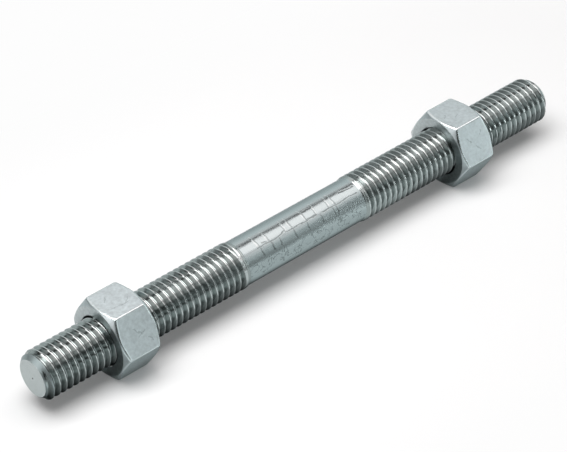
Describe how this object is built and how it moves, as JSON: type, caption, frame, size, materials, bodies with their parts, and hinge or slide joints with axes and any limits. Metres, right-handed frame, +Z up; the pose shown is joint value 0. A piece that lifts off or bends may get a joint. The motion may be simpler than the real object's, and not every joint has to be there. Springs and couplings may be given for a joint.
{
  "type": "stud bolt",
  "caption": "Double-end stud bolt: a round steel bar threaded at both ends with a plain middle, carrying a chamfered hexagon nut on each thread.",
  "frame": {"origin": "on the bar's axis, at the middle of its length", "axes": "+X along the bar towards its right-hand end, +Z up and square to a flat of each nut, +Y away from a viewer who has +X on the right"},
  "size_m": [0.16, 0.0208, 0.018],
  "materials": {
    "plated_bar": "bright zinc plate on a rolled thread and a drawn shank",
    "plated_nut": "zinc plate with a faint mottle, rubbed bright along the edges"
  },
  "bodies": {
    "bar": {"stud_bar": "plated_bar"},
    "left_nut": {"left_nut": "plated_nut"},
    "right_nut": {"right_nut": "plated_nut"}
  },
  "joints": [
    {"name": "left_nut_travel", "type": "slide", "parent": "bar", "child": "left_nut", "axis": [1, 0, 0], "range_m": [-0.0175, 0.028]},
    {"name": "right_nut_travel", "type": "slide", "parent": "bar", "child": "right_nut", "axis": [-1, 0, 0], "range_m": [-0.021, 0.028]}
  ]
}
